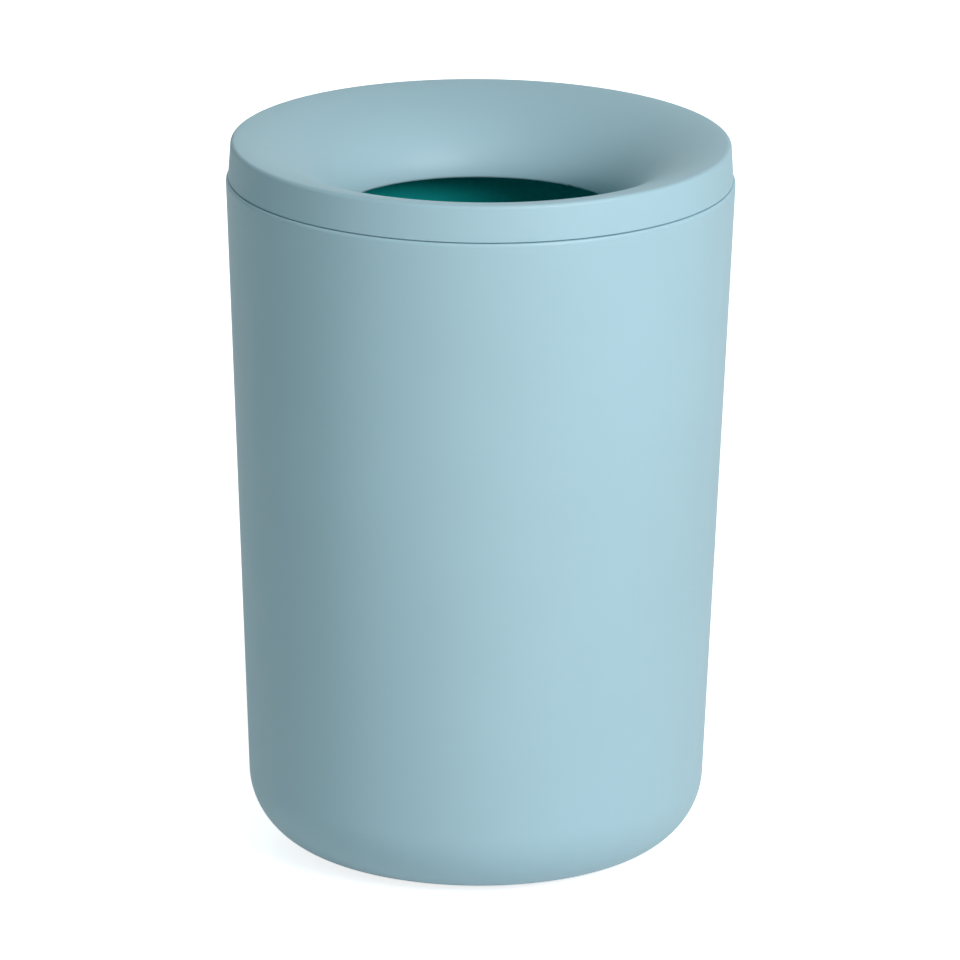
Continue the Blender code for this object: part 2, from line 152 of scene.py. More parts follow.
def pick(kind, test):
    """In edit mode, select just the vertices, edges or faces that pass a test."""
    bpy.ops.mesh.select_mode(type=kind)
    bpy.ops.mesh.select_all(action="DESELECT")
    mesh = bpy.context.edit_object.data
    bm = bmesh.from_edit_mesh(mesh)
    for element in {"VERT": bm.verts, "EDGE": bm.edges, "FACE": bm.faces}[kind]:
        if test(element):
            element.select_set(True)
    bm.select_flush_mode()
    bmesh.update_edit_mesh(mesh)


def radius_of(point):
    return math.hypot(point.x, point.y)


def on_ring(radius, height):
    """A test for vertices that lie on a ring about the Z axis."""
    return lambda vert: abs(radius_of(vert.co) - radius) < NEARLY and abs(vert.co.z - height) < NEARLY


def level_face(facing, test):
    """A test for faces that look straight up or down and whose middle passes a test of its own."""
    return lambda face: face.normal.z * facing > FLAT_ENOUGH and test(face.calc_center_median())


# %% [markdown]
# ## Outer body: a tapered pail
#
# The body is one thick plastic moulding, 200 mm across the rim and narrower at the base, so that it
# slides off its mould. It could be spun from a drawn section, but a cylinder already has the right form:
# its lower ring is scaled for the taper, and one wide bevel turns the lower edge into the big round
# corner. It has 256 sides, so many that no corner shows on the outline even in a close view.
#
# A bevel is set by how far it reaches along each face. For a corner of a given angle and a round of a
# given radius that reach is the radius divided by the tangent of half the angle.

# %% The body's blank
ROUND_SIDES = 256
BODY_BASE_RADIUS = 0.0892
BODY_CORNER_RADIUS = 0.0290
CORNER_SEGMENTS = 24

BODY_HEIGHT = BODY_RIM_Z - BODY_Z
TAPER = math.atan((BODY_RIM_RADIUS - BODY_BASE_RADIUS) / BODY_HEIGHT)


def bevel_reach(radius, corner_angle):
    return radius / math.tan(corner_angle / 2)


def add_cylinder(name, radius, low_z, high_z, sides=ROUND_SIDES, x=0.0, y=0.0):
    bpy.ops.object.select_all(action="DESELECT")
    middle = (x, y, (low_z + high_z) / 2)
    bpy.ops.mesh.primitive_cylinder_add(vertices=sides, radius=radius, depth=high_z - low_z, location=middle)
    cylinder = bpy.context.object
    cylinder.name = name
    settle(cylinder)
    return cylinder


def scale_ring(share, height):
    bpy.ops.transform.resize(value=(share, share, 1), center_override=(0, 0, height))


body = add_cylinder("bin_body", BODY_RIM_RADIUS, BODY_Z, BODY_RIM_Z)
edit(body)
pick("VERT", on_ring(BODY_RIM_RADIUS, BODY_Z))
scale_ring(BODY_BASE_RADIUS / BODY_RIM_RADIUS, BODY_Z)
base_reach = bevel_reach(BODY_CORNER_RADIUS, math.pi / 2 + TAPER)
bpy.ops.mesh.bevel(offset=base_reach, segments=CORNER_SEGMENTS, affect="EDGES", clamp_overlap=False)
leave_edit()
print("body blank:", len(body.data.vertices), "vertices, bevel reach in mm", round(1000 * base_reach, 2))

# %% [markdown]
# The inside is cut in as a modeller would: inset the top face by the wall's thickness, push the inner
# face down to the floor, scale it for the same taper, and bevel its ring. Inset leaves the flat ring that
# becomes the rim.

# %% The body's inside
BODY_WALL = 0.0030
BODY_FLOOR = 0.0034

bore_rim_radius = BODY_RIM_RADIUS - BODY_WALL
bore_base_radius = BODY_BASE_RADIUS - BODY_WALL
floor_z = BODY_Z + BODY_FLOOR
edit(body)
pick("FACE", level_face(UP, lambda middle: middle.z > BODY_RIM_Z - NEARLY))
bpy.ops.mesh.inset(thickness=BODY_WALL)
bpy.ops.mesh.extrude_region_move(TRANSFORM_OT_translate={"value": (0, 0, floor_z - BODY_RIM_Z)})
scale_ring(bore_base_radius / bore_rim_radius, floor_z)
inner_reach = bevel_reach(BODY_CORNER_RADIUS - BODY_WALL, math.pi / 2 + TAPER)
bpy.ops.mesh.bevel(offset=inner_reach, segments=CORNER_SEGMENTS, affect="EDGES", clamp_overlap=False)
leave_edit()
print("body hollowed:", len(body.data.polygons), "faces")

# %% [markdown]
# The photograph shows a bright line all round, just under the lid. It is the rim's outer edge, which
# catches the lamp wherever it turns towards it. The line fades slowly downwards, yet the step in the
# bin's outline is crisp, so the edge isn't a plain round: it is twice as high as it is wide. A bevel
# makes the plain round first, and the new faces are then stretched down from the rim. The inner edge only
# has its sharpness taken off.
#
# Long faces next to a small round shade badly, because a smooth corner averages both directions. Extra
# rings along the side keep that average close to the round, and give the wall an even mesh.

# %% The body's rim and side
RIM_ROUND = 0.0008
RIM_STRETCH = 2.0
RIM_SEGMENTS = 10
BORE_ROUND = 0.0004
BORE_SEGMENTS = 4
SIDE_CUTS = 15

edit(body)
pick("VERT", on_ring(BODY_RIM_RADIUS, BODY_RIM_Z))
rim_reach = bevel_reach(RIM_ROUND, math.pi / 2 - TAPER)
bpy.ops.mesh.bevel(offset=rim_reach, segments=RIM_SEGMENTS, affect="EDGES")
bpy.ops.transform.resize(value=(1, 1, RIM_STRETCH), center_override=(0, 0, BODY_RIM_Z))
pick("VERT", on_ring(bore_rim_radius, BODY_RIM_Z))
bpy.ops.mesh.bevel(offset=BORE_ROUND, segments=BORE_SEGMENTS, affect="EDGES")
pick("EDGE", lambda edge: abs(edge.verts[0].co.z - edge.verts[1].co.z) > BODY_HEIGHT / 2)
bpy.ops.mesh.subdivide(number_cuts=SIDE_CUTS)
leave_edit()
print("body rim and side:", len(body.data.vertices), "vertices")

# %% [markdown]
# Under the base lies a shallow round recess with the mark of the sprue, where the plastic flowed in. The
# flat face of the base is inset to the recess's radius and pushed in. The same is done once more for the
# mark, which stands out of the recess a little.

# %% Recess and sprue mark
RECESS_RADIUS = 0.0300
RECESS_DEPTH = 0.0010
SPRUE_RADIUS = 0.0035
SPRUE_HEIGHT = 0.0004


def downward_disc(height):
    """A test for the round face in the middle of an underside."""
    centre = Vector((0, 0, height))
    return level_face(DOWN, lambda middle: (middle - centre).length < NEARLY)


def inset_disc(from_radius, to_radius, depth):
    """Inset the selected round face to a smaller radius and move it against its normal."""
    bpy.ops.mesh.inset(thickness=from_radius - to_radius)
    bpy.ops.mesh.inset(thickness=abs(depth), depth=-depth)


base_flat_radius = BODY_BASE_RADIUS - base_reach
edit(body)
pick("FACE", downward_disc(BODY_Z))
inset_disc(base_flat_radius, RECESS_RADIUS, RECESS_DEPTH)
inset_disc(RECESS_RADIUS - RECESS_DEPTH, SPRUE_RADIUS, -SPRUE_HEIGHT)
leave_edit()
print("base: flat out to a radius of", round(1000 * base_flat_radius, 2), "mm")

# %% [markdown]
# Four round pockets in the base hold the pads. A pocket is a plain Boolean: a cylinder a little wider
# than the pad is taken away from the body, and the modifier is applied at once, so that the mesh is
# final.

# %% Pockets for the pads
PAD_COUNT = 4
PAD_SIDES = 64
FIT_GAP = 0.0003
CUT_OVERRUN = 0.0020

PAD_NODES = [f"foot_pad_{number}" for number in range(1, PAD_COUNT + 1)]
pad_low, pad_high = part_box(PAD_NODES[0])
PAD_RADIUS = (pad_high.x - pad_low.x) / 2
PAD_TOP_Z = pad_high.z


def middle_of(node):
    low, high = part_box(node)
    return (low + high) / 2


def combine(piece, tool, operation):
    """Apply a Boolean with a tool, which is then deleted."""
    select_only(piece)
    boolean = piece.modifiers.new("combine", "BOOLEAN")
    boolean.operation = operation
    boolean.object = tool
    bpy.ops.object.modifier_apply(modifier=boolean.name)
    bpy.data.objects.remove(tool, do_unlink=True)


pocket_radius = PAD_RADIUS + FIT_GAP
pocket_low_z = BODY_Z - CUT_OVERRUN
pocket_high_z = PAD_TOP_Z + FIT_GAP
for node in PAD_NODES:
    centre = middle_of(node)
    pocket = add_cylinder(
        "pocket", pocket_radius, pocket_low_z, pocket_high_z, PAD_SIDES, centre.x, centre.y
    )
    combine(body, pocket, "DIFFERENCE")
print("body:", len(body.data.vertices), "vertices, pads of radius", round(1000 * PAD_RADIUS, 2), "mm")

# %% [markdown]
# ## Rubber pads
#
# Each pad is a short disc pressed into its pocket, standing 1 mm proud. Its lower edge is rounded, and
# two fine grooves run round its face, which give rubber feet their hold on wet tiles. One pad is
# modelled, and the others are copies with meshes of their own, moved to their places.

# %% The pads
PAD_EDGE_ROUND = 0.0005
PAD_EDGE_SEGMENTS = 6
GROOVE_SHARES = (0.72, 0.42)
GROOVE_WIDTH = 0.0007
GROOVE_DEPTH = 0.0004

pad = add_cylinder("rubber_pad_1", PAD_RADIUS, 0.0, PAD_TOP_Z, PAD_SIDES)
edit(pad)
pick("VERT", on_ring(PAD_RADIUS, 0.0))
bpy.ops.mesh.bevel(offset=PAD_EDGE_ROUND, segments=PAD_EDGE_SEGMENTS, affect="EDGES")
pick("FACE", downward_disc(0.0))
disc_radius = PAD_RADIUS - PAD_EDGE_ROUND
for share in GROOVE_SHARES:
    bpy.ops.mesh.inset(thickness=disc_radius - share * PAD_RADIUS)
    bpy.ops.mesh.inset(thickness=GROOVE_WIDTH / 2, depth=-GROOVE_DEPTH)
    bpy.ops.mesh.inset(thickness=GROOVE_WIDTH / 2, depth=GROOVE_DEPTH)
    disc_radius = share * PAD_RADIUS - GROOVE_WIDTH
leave_edit()
pads = [pad]
for number in range(2, PAD_COUNT + 1):
    select_only(pad)
    bpy.ops.object.duplicate(linked=False)
    copy = bpy.context.object
    copy.name = f"rubber_pad_{number}"
    pads.append(copy)
for copy, node in zip(pads, PAD_NODES):
    centre = middle_of(node)
    copy.location = (centre.x, centre.y, 0.0)
    settle(copy)
print("pads:", [copy.name for copy in pads])

# %% [markdown]
# ## Inner bucket: a section that is spun
#
# The bucket is a thinner pail of teal plastic. It has a turned-down rim, and a step under it, which no
# single bevel gives. So half of its section is drawn as a line of points, and Spin turns it round the
# axis, as a potter's wheel would. The line starts from a small plane whose corners are merged into one
# vertex, and each extrusion of that vertex adds a point. Rounds are worked out as arcs.

# %% Drawing and spinning a section
INWARD = math.pi
OUTWARD = 0.0
UPWARD = math.pi / 2
DOWNWARD = -math.pi / 2
SEED_SIZE = 0.01
MERGE_DISTANCE = 0.000001


def arc(centre, radius, start, end, steps):
    """Points on an arc of a section, from one direction to another."""
    angles = [start + (end - start) * step / steps for step in range(steps + 1)]
    return [(centre[0] + radius * math.cos(a), centre[1] + radius * math.sin(a)) for a in angles]


def draw_line(name, places):
    """Draw a line of edges through places, by extruding one vertex from each to the next."""
    bpy.ops.object.select_all(action="DESELECT")
    bpy.ops.mesh.primitive_plane_add(size=SEED_SIZE, location=places[0])
    drawn = bpy.context.object
    drawn.name = name
    bpy.ops.object.mode_set(mode="EDIT")
    bpy.ops.mesh.select_mode(type="VERT")
    bpy.ops.mesh.select_all(action="SELECT")
    bpy.ops.mesh.merge(type="CENTER")
    for before, after in zip(places, places[1:]):
        bpy.ops.mesh.extrude_region_move(TRANSFORM_OT_translate={"value": Vector(after) - Vector(before)})
    return drawn


def spin_section(name, section):
    """Turn a section of (radius, height) points into a closed solid with its faces outwards."""
    turned = draw_line(name, [(radius, 0.0, height) for radius, height in section])
    bpy.ops.mesh.select_all(action="SELECT")
    bpy.ops.mesh.spin(steps=ROUND_SIDES, angle=2 * math.pi, center=(0, 0, 0), axis=(0, 0, 1))
    bpy.ops.mesh.select_all(action="SELECT")
    bpy.ops.mesh.remove_doubles(threshold=MERGE_DISTANCE)
    bpy.ops.mesh.normals_make_consistent(inside=False)
    leave_edit()
    settle(turned)
    return turned


def along(low, high, cuts):
    """Points that divide a straight stretch of a section, its two ends left out."""
    shares = [(step + 1) / (cuts + 1) for step in range(cuts)]
    return [(low[0] + (high[0] - low[0]) * s, low[1] + (high[1] - low[1]) * s) for s in shares]


# %% [markdown]
# The bucket stands inside the body with a millimetre round its rim. Its radii and heights come from its
# box and from the body's corner. Only the rim's height needs a search: it is the highest point that the
# plain solid has out at its rim, because the box also holds the ears above.

# %% The bucket's sizes
BUCKET_WALL = 0.0020
BUCKET_FLOOR = 0.0022
BUCKET_BASE_RADIUS = 0.0777
BUCKET_RIM_WIDTH = 0.0084
BUCKET_TURN_DOWN = 0.0050
BUCKET_EDGE_ROUND = 0.0006
BUCKET_RECESS_SHARE = 0.80
BUCKET_RECESS_DEPTH = 0.0008

bucket_low, bucket_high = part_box("inner_bucket")
BUCKET_Z = bucket_low.z
BUCKET_RIM_RADIUS = bucket_high.x
BUCKET_TOP_RADIUS = BUCKET_RIM_RADIUS - BUCKET_RIM_WIDTH
BUCKET_CORNER_RADIUS = BODY_CORNER_RADIUS - BODY_WALL
rim_start = BUCKET_RIM_RADIUS - 2 * BUCKET_EDGE_ROUND
bucket_corners = [vert.co for vert in frame["nodes"]["inner_bucket"].data.vertices]
BUCKET_RIM_Z = max(corner.z for corner in bucket_corners if radius_of(corner) > rim_start)
print("bucket: floor and rim at mm", round(1000 * BUCKET_Z, 2), round(1000 * BUCKET_RIM_Z, 2))

# %% [markdown]
# The section runs from the middle of the bucket's floor up the inside, over the rim, round the
# turned-down lip, down the outside and back to the middle underneath, where a shallow recess lifts the
# base off the body's floor.

# %% The bucket's section
EDGE_STEPS = 5


def pail_corner(rim_radius, base_radius, base_z, rim_z, corner_radius):
    """The round corner of a tapered pail, from its flat base to its straight side."""
    taper = math.atan((rim_radius - base_radius) / (rim_z - base_z))
    centre_r = base_radius + corner_radius * math.tan(taper) - corner_radius / math.cos(taper)
    return arc((centre_r, base_z + corner_radius), corner_radius, DOWNWARD, -taper, CORNER_SEGMENTS)


def bucket_section():
    inside_top = BUCKET_TOP_RADIUS - BUCKET_WALL
    inside = pail_corner(
        inside_top,
        BUCKET_BASE_RADIUS - BUCKET_WALL,
        BUCKET_Z + BUCKET_FLOOR,
        BUCKET_RIM_Z,
        BUCKET_CORNER_RADIUS - BUCKET_WALL,
    )
    outside = pail_corner(
        BUCKET_TOP_RADIUS, BUCKET_BASE_RADIUS, BUCKET_Z, BUCKET_RIM_Z, BUCKET_CORNER_RADIUS
    )
    edge = BUCKET_EDGE_ROUND
    rim_z = BUCKET_RIM_Z
    lip_z = rim_z - BUCKET_TURN_DOWN
    lip_inside = BUCKET_RIM_RADIUS - BUCKET_WALL
    flange_z = rim_z - BUCKET_WALL
    neck = BUCKET_TOP_RADIUS - BUCKET_WALL * math.tan(TAPER)
    recess_radius = BUCKET_RECESS_SHARE * outside[0][0]
    points = [(0.0, BUCKET_Z + BUCKET_FLOOR)]
    points += inside
    points += along(inside[-1], (inside_top, rim_z), SIDE_CUTS)
    points += arc((inside_top + edge, rim_z - edge), edge, INWARD, UPWARD, EDGE_STEPS)
    points += arc((BUCKET_RIM_RADIUS - edge, rim_z - edge), edge, UPWARD, OUTWARD, EDGE_STEPS)
    points += arc((BUCKET_RIM_RADIUS - edge, lip_z + edge), edge, OUTWARD, DOWNWARD, EDGE_STEPS)
    points += arc((lip_inside + edge, lip_z + edge), edge, DOWNWARD, -INWARD, EDGE_STEPS)
    points += arc((lip_inside - edge, flange_z - edge), edge, OUTWARD, UPWARD, EDGE_STEPS)
    points += arc((neck + edge, flange_z - edge), edge, UPWARD, INWARD, EDGE_STEPS)
    points += reversed(along(outside[-1], (neck, flange_z), SIDE_CUTS))
    points += reversed(outside)
    points += [(recess_radius, BUCKET_Z)]
    points += [(recess_radius - BUCKET_RECESS_DEPTH, BUCKET_Z + BUCKET_RECESS_DEPTH)]
    points += [(0.0, BUCKET_Z + BUCKET_RECESS_DEPTH)]
    return points


bucket = spin_section("inner_pail", bucket_section())
print("bucket:", len(bucket.data.vertices), "vertices, rim at mm", round(1000 * BUCKET_RIM_Z, 2))

# %% [markdown]
# Two ears stand on the rim and carry the bail. An ear is a short round bar across the pivot whose lower
# half is pulled down into the rim. Both ears are joined to the bucket with Boolean unions, and one long
# bar drills the two holes in line.
#
# A small bevel keeps the ear from looking cut out of paper. It takes every sharp edge that reaches above
# the foot. An edge's two ends come in no fixed order, so the test looks at the higher one.

# %% The ears
EAR_THICKNESS = 0.0030
EAR_RADIUS = 0.0045
EAR_SIDES = 48
EAR_ROUND = 0.0003
EAR_SEGMENTS = 3
CORNER_ANGLE = math.radians(60)
WIRE_RADIUS = 0.0015

PIVOT_Z = next(joint["pos_m"][2] for joint in frame["joints"] if joint["name"] == "bail_swing")


def add_cross_bar(name, radius, low_x, high_x):
    """A round bar along X through the height of the pivot."""
    bpy.ops.object.select_all(action="DESELECT")
    middle = ((low_x + high_x) / 2, 0.0, PIVOT_Z)
    turn = (0.0, math.pi / 2, 0.0)
    bpy.ops.mesh.primitive_cylinder_add(
        vertices=EAR_SIDES, radius=radius, depth=high_x - low_x, location=middle, rotation=turn
    )
    bar = bpy.context.object
    bar.name = name
    settle(bar)
    return bar


def add_ear(outer_x):
    """A disc round the pivot whose lower half is pulled down into the rim."""
    ear = add_cross_bar("ear", EAR_RADIUS, outer_x - EAR_THICKNESS, outer_x)
    edit(ear)
    bpy.ops.mesh.select_all(action="SELECT")
    bpy.ops.mesh.bisect(plane_co=(0, 0, PIVOT_Z), plane_no=(0, 0, -1), clear_outer=True, use_fill=True)
    pick("FACE", level_face(DOWN, lambda middle: middle.z < PIVOT_Z + NEARLY))
    foot_z = BUCKET_RIM_Z - BUCKET_WALL / 2
    bpy.ops.mesh.extrude_region_move(TRANSFORM_OT_translate={"value": (0, 0, foot_z - PIVOT_Z)})
    pick(
        "EDGE",
        lambda edge: edge.calc_face_angle(0.0) > CORNER_ANGLE
        and max(vert.co.z for vert in edge.verts) > foot_z + NEARLY,
    )
    bpy.ops.mesh.bevel(offset=EAR_ROUND, segments=EAR_SEGMENTS, affect="EDGES")
    leave_edit()
    return ear


combine(bucket, add_ear(BUCKET_TOP_RADIUS), "UNION")
combine(bucket, add_ear(EAR_THICKNESS - BUCKET_TOP_RADIUS), "UNION")
drill_reach = BUCKET_TOP_RADIUS + CUT_OVERRUN
drill = add_cross_bar("drill", WIRE_RADIUS + FIT_GAP, -drill_reach, drill_reach)
combine(bucket, drill, "DIFFERENCE")
print("bucket with ears:", len(bucket.data.vertices), "vertices")

# %% [markdown]
# ## Funnel lid
#
# The lid is the piece that the eye goes to. A narrow straight side stands a millimetre in from the body,
# its upper edge turns over with a small round, and then the top falls to the hole: level at the rim,
# steeper and steeper, upright at the hole. No bevel draws that fall, so it follows a curve: a quarter of
# a stretched circle, whose two powers were tuned until its bright and dark bands lay where the photograph
# has them.

# %% The dish's curve
LID_WALL = 0.0022
LID_EDGE_ROUND = 0.0016
LID_SIDE_TAPER = 0.0008
LID_RIM_LAND = 0.0002
DISH_STEPS = 56
DISH_RADIUS_POWER = 1.29
DISH_HEIGHT_POWER = 1.04

lid_low, lid_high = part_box("funnel_lid")
LID_TOP_Z = lid_high.z
LIP_Z = lid_low.z + LID_WALL / 2
SEAM_RADIUS = lid_high.x
LID_TOP_RADIUS = SEAM_RADIUS - LID_SIDE_TAPER
HOLE_RADIUS = min(radius_of(vert.co) for vert in frame["nodes"]["funnel_lid"].data.vertices)


def dish_curve():
    """The dish from its level start at the rim to its upright end at the hole."""
    rim = LID_TOP_RADIUS - LID_EDGE_ROUND - LID_RIM_LAND
    points = []
    for step in range(DISH_STEPS + 1):
        angle = math.pi / 2 * step / DISH_STEPS
        across = max(math.sin(angle), 0.0) ** DISH_RADIUS_POWER
        down = 1 - max(math.cos(angle), 0.0) ** DISH_HEIGHT_POWER
        radius = rim - (rim - HOLE_RADIUS) * across
        points.append((radius, LID_TOP_Z - (LID_TOP_Z - LIP_Z) * down))
    return points


dish_fall = LID_TOP_Z - LIP_Z
print("dish: hole radius mm", round(1000 * HOLE_RADIUS, 2), "fall mm", round(1000 * dish_fall, 2))

# %% [markdown]
# The underside is the same curve moved inwards by the wall's thickness, at right angles to the surface.
# The whole section goes over the edge, down the side, round the foot, up the inside, along the underside,
# round the lip of the hole and back up the dish.

# %% The lid's section
LID_FOOT_ROUND = 0.0003
LID_EDGE_STEPS = 12
LID_SIDE_CUTS = 7
LID_FOOT_STEPS = 4
LID_SKIRT_CUTS = 5
LIP_STEPS = 12

LID_Z = BODY_RIM_Z + FIT_GAP
SKIRT_INSIDE = LID_TOP_RADIUS - LID_WALL


def under_dish(inset):
    """The dish moved into the wall by an inset, as far as the inside of the skirt."""
    points = dish_curve()
    moved = []
    for index, (radius, height) in enumerate(points):
        before = Vector(points[max(index - 1, 0)])
        after = Vector(points[min(index + 1, DISH_STEPS)])
        slope = (before - after).normalized() if index < DISH_STEPS else Vector((0.0, 1.0))
        moved.append((radius + inset * slope.y, height - inset * slope.x))
    return [point for point in moved if point[0] < SKIRT_INSIDE - LID_RIM_LAND]


def lid_section():
    edge_centre = (LID_TOP_RADIUS - LID_EDGE_ROUND, LID_TOP_Z - LID_EDGE_ROUND)
    foot_centre = (SEAM_RADIUS - LID_FOOT_ROUND, LID_Z + LID_FOOT_ROUND)
    lip_centre = (HOLE_RADIUS + LID_WALL / 2, LIP_Z)
    underside = under_dish(LID_WALL)
    side_top = (LID_TOP_RADIUS, edge_centre[1])
    skirt_foot = (SEAM_RADIUS - LID_WALL, LID_Z)
    skirt_top = (SKIRT_INSIDE, underside[0][1] - LID_EDGE_ROUND)
    points = arc(edge_centre, LID_EDGE_ROUND, UPWARD, OUTWARD, LID_EDGE_STEPS)
    points += along(side_top, (SEAM_RADIUS, foot_centre[1]), LID_SIDE_CUTS)
    points += arc(foot_centre, LID_FOOT_ROUND, OUTWARD, DOWNWARD, LID_FOOT_STEPS)
    points += [skirt_foot]
    points += along(skirt_foot, skirt_top, LID_SKIRT_CUTS)
    points += [skirt_top]
    points += underside[:-1]
    points += arc(lip_centre, LID_WALL / 2, OUTWARD, -INWARD, LIP_STEPS)
    points += reversed(dish_curve()[:-1])
    return points + [points[0]]


lid = spin_section("lid_funnel", lid_section())
print("lid:", len(lid.data.vertices), "vertices")

# %% [markdown]
# Twelve thin ribs stand under the dish. They keep it from bowing, and their lower outer corners centre
# the lid in the body. A rib is drawn as an outline, filled with one face and extruded to its thickness.
# Its top is sunk in the dish's wall.

# %% One rib
RIB_THICKNESS = 0.0016
RIB_DEPTH = 0.0060
RIB_LEAD_IN = 0.0012
RIB_CLEARANCE = 0.0006
RIB_TIP_WIDTH = 0.0050
RIB_REACH_SHARE = 0.34


def bore_radius_at(height):
    share = (height - floor_z) / (BODY_RIM_Z - floor_z)
    return bore_base_radius + (bore_rim_radius - bore_base_radius) * share


def rib_outline():
    inner = SKIRT_INSIDE - RIB_REACH_SHARE * (SKIRT_INSIDE - HOLE_RADIUS)
    top = [point for point in under_dish(LID_WALL / 2) if point[0] > inner]
    sunk = SKIRT_INSIDE + LID_WALL / 2
    foot_z = LID_Z - RIB_DEPTH
    locating = bore_radius_at(foot_z) - RIB_CLEARANCE
    points = [(sunk, top[0][1] - LID_EDGE_ROUND)] + top
    points += [(locating - RIB_TIP_WIDTH - RIB_LEAD_IN, foot_z), (locating - RIB_LEAD_IN, foot_z)]
    points += [(locating, foot_z + RIB_LEAD_IN), (locating, LID_Z + FIT_GAP), (sunk, LID_Z + FIT_GAP)]
    return points


def make_rib():
    outline = rib_outline()
    half = RIB_THICKNESS / 2
    rib = draw_line("rib", [(radius, -half, height) for radius, height in outline + outline[:1]])
    bpy.ops.mesh.select_all(action="SELECT")
    bpy.ops.mesh.remove_doubles(threshold=MERGE_DISTANCE)
    bpy.ops.mesh.edge_face_add()
    bpy.ops.mesh.extrude_region_move(TRANSFORM_OT_translate={"value": (0, RIB_THICKNESS, 0)})
    bpy.ops.mesh.select_all(action="SELECT")
    bpy.ops.mesh.normals_make_consistent(inside=False)
    leave_edit()
    settle(rib)
    return rib


rib = make_rib()
print("rib:", len(rib.data.vertices), "vertices")

# %% [markdown]
# The rib is copied round the axis, each copy with a mesh of its own, and all twelve are joined into one
# object that unites with the lid in a single Boolean.

# %% Twelve ribs round the lid
RIB_COUNT = 12


def copies_round_axis(obj, count, first_turn):
    """Copies of an object, each with its own mesh, evenly round the axis and joined into one."""
    copies = [obj]
    for _ in range(count - 1):
        select_only(obj)
        bpy.ops.object.duplicate(linked=False)
        copies.append(bpy.context.object)
    for index, copy in enumerate(copies):
        copy.rotation_euler.z = first_turn + 2 * math.pi * index / count
        settle(copy)
    for copy in copies:
        copy.select_set(True)
    bpy.ops.object.join()
    return bpy.context.object


combine(lid, copies_round_axis(rib, RIB_COUNT, math.pi / RIB_COUNT), "UNION")
print("lid with ribs:", len(lid.data.vertices), "vertices")

# %% [markdown]
# One flaw makes the lid that of the photograph: a nick in the lip of the hole, behind on the right, where
# the mould left a flash that somebody trimmed. It is a small wedge taken out of the lip from below. Seen
# from in front its left side is steep, and its right side runs out slowly.

# %% The nick in the lip
NICK_AZIMUTH = math.radians(50.3)
NICK_LENGTH = 0.0028
NICK_DEPTH = 0.0013

nick_start = HOLE_RADIUS - CUT_OVERRUN
nick_floor = LIP_Z - LID_WALL / 2
nick_places = [
    (nick_start, NICK_LENGTH / 2, nick_floor + NICK_DEPTH),
    (nick_start, -NICK_LENGTH / 2, nick_floor),
    (nick_start, -NICK_LENGTH / 2, nick_floor - NICK_DEPTH),
    (nick_start, NICK_LENGTH / 2, nick_floor - NICK_DEPTH),
    (nick_start, NICK_LENGTH / 2, nick_floor + NICK_DEPTH),
]
nick = draw_line("nick", nick_places)
bpy.ops.mesh.select_all(action="SELECT")
bpy.ops.mesh.remove_doubles(threshold=MERGE_DISTANCE)
bpy.ops.mesh.edge_face_add()
nick_reach = LID_WALL + 2 * CUT_OVERRUN
bpy.ops.mesh.extrude_region_move(TRANSFORM_OT_translate={"value": (nick_reach, 0, 0)})
bpy.ops.mesh.select_all(action="SELECT")
bpy.ops.mesh.normals_make_consistent(inside=False)
leave_edit()
settle(nick)
nick.rotation_euler.z = NICK_AZIMUTH
settle(nick)
combine(lid, nick, "DIFFERENCE")
print("lid with its nick:", len(lid.data.vertices), "vertices")

# %% [markdown]
# ## Bail: a ring of vertices taken for a walk
#
# The bail is a 3 mm steel wire. It comes in from outside through each ear, bends forward, and runs round
# the front in a bow. A bent bar is modelled by walking: a ring of vertices is extruded a step along the
# way and turned to face it, again and again. Without a window the rotate operator turns the other way
# round, so its angle is given with a minus sign.
#
# The bow is half of an ellipse. Its ends lie a bend's radius in front of the pivot, and it reaches as far
# to the front as to its sides, so that it also stays inside the round body when it is folded back.

# %% Walking a ring along a path
WIRE_SIDES = 24


def heading(before, after):
    """Direction from one place to another, as a turn about Z."""
    return math.atan2(after[1] - before[1], after[0] - before[0])


def walk_ring(name, path, radii):
    """Extrude a ring along a level path at the height of the pivot. Each place has its own radius."""
    count = len(path)
    headings = []
    for index in range(count):
        headings.append(heading(path[max(index - 1, 0)], path[min(index + 1, count - 1)]))
    bpy.ops.object.select_all(action="DESELECT")
    bpy.ops.mesh.primitive_circle_add(
        vertices=WIRE_SIDES,
        radius=radii[0],
        location=(*path[0], PIVOT_Z),
        rotation=(math.pi / 2, 0.0, headings[0] + math.pi / 2),
    )
    bar = bpy.context.object
    bar.name = name
    bpy.ops.object.mode_set(mode="EDIT")
    bpy.ops.mesh.select_all(action="SELECT")
    for index in range(1, count):
        place = (*path[index], PIVOT_Z)
        step = (path[index][0] - path[index - 1][0], path[index][1] - path[index - 1][1], 0)
        turn = math.remainder(headings[index] - headings[index - 1], 2 * math.pi)
        growth = radii[index] / radii[index - 1]
        bpy.ops.mesh.extrude_region_move(TRANSFORM_OT_translate={"value": step})
        bpy.ops.transform.rotate(value=-turn, orient_axis="Z", center_override=place)
        bpy.ops.transform.resize(value=(growth, growth, growth), center_override=place)
    return bar


# %% [markdown]
# The wire's path: the pin through the right ear, a tight bend, the bow, and the same again on the left.
# How far the arms stand out comes from the plain wire's box. Where a pin ends comes from its corners
# behind the pivot's axis, because only the pins have any there.

# %% The wire's path
WIRE_BEND_RADIUS = 0.0035
BOW_STEPS = 96
BEND_STEPS = 8

ARM_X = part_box("bail_wire")[1].x - WIRE_RADIUS
BOW_DEPTH = ARM_X - WIRE_BEND_RADIUS
wire_corners = [vert.co for vert in frame["nodes"]["bail_wire"].data.vertices]
PIN_X = min(corner.x for corner in wire_corners if corner.x > 0 and corner.y > 0)


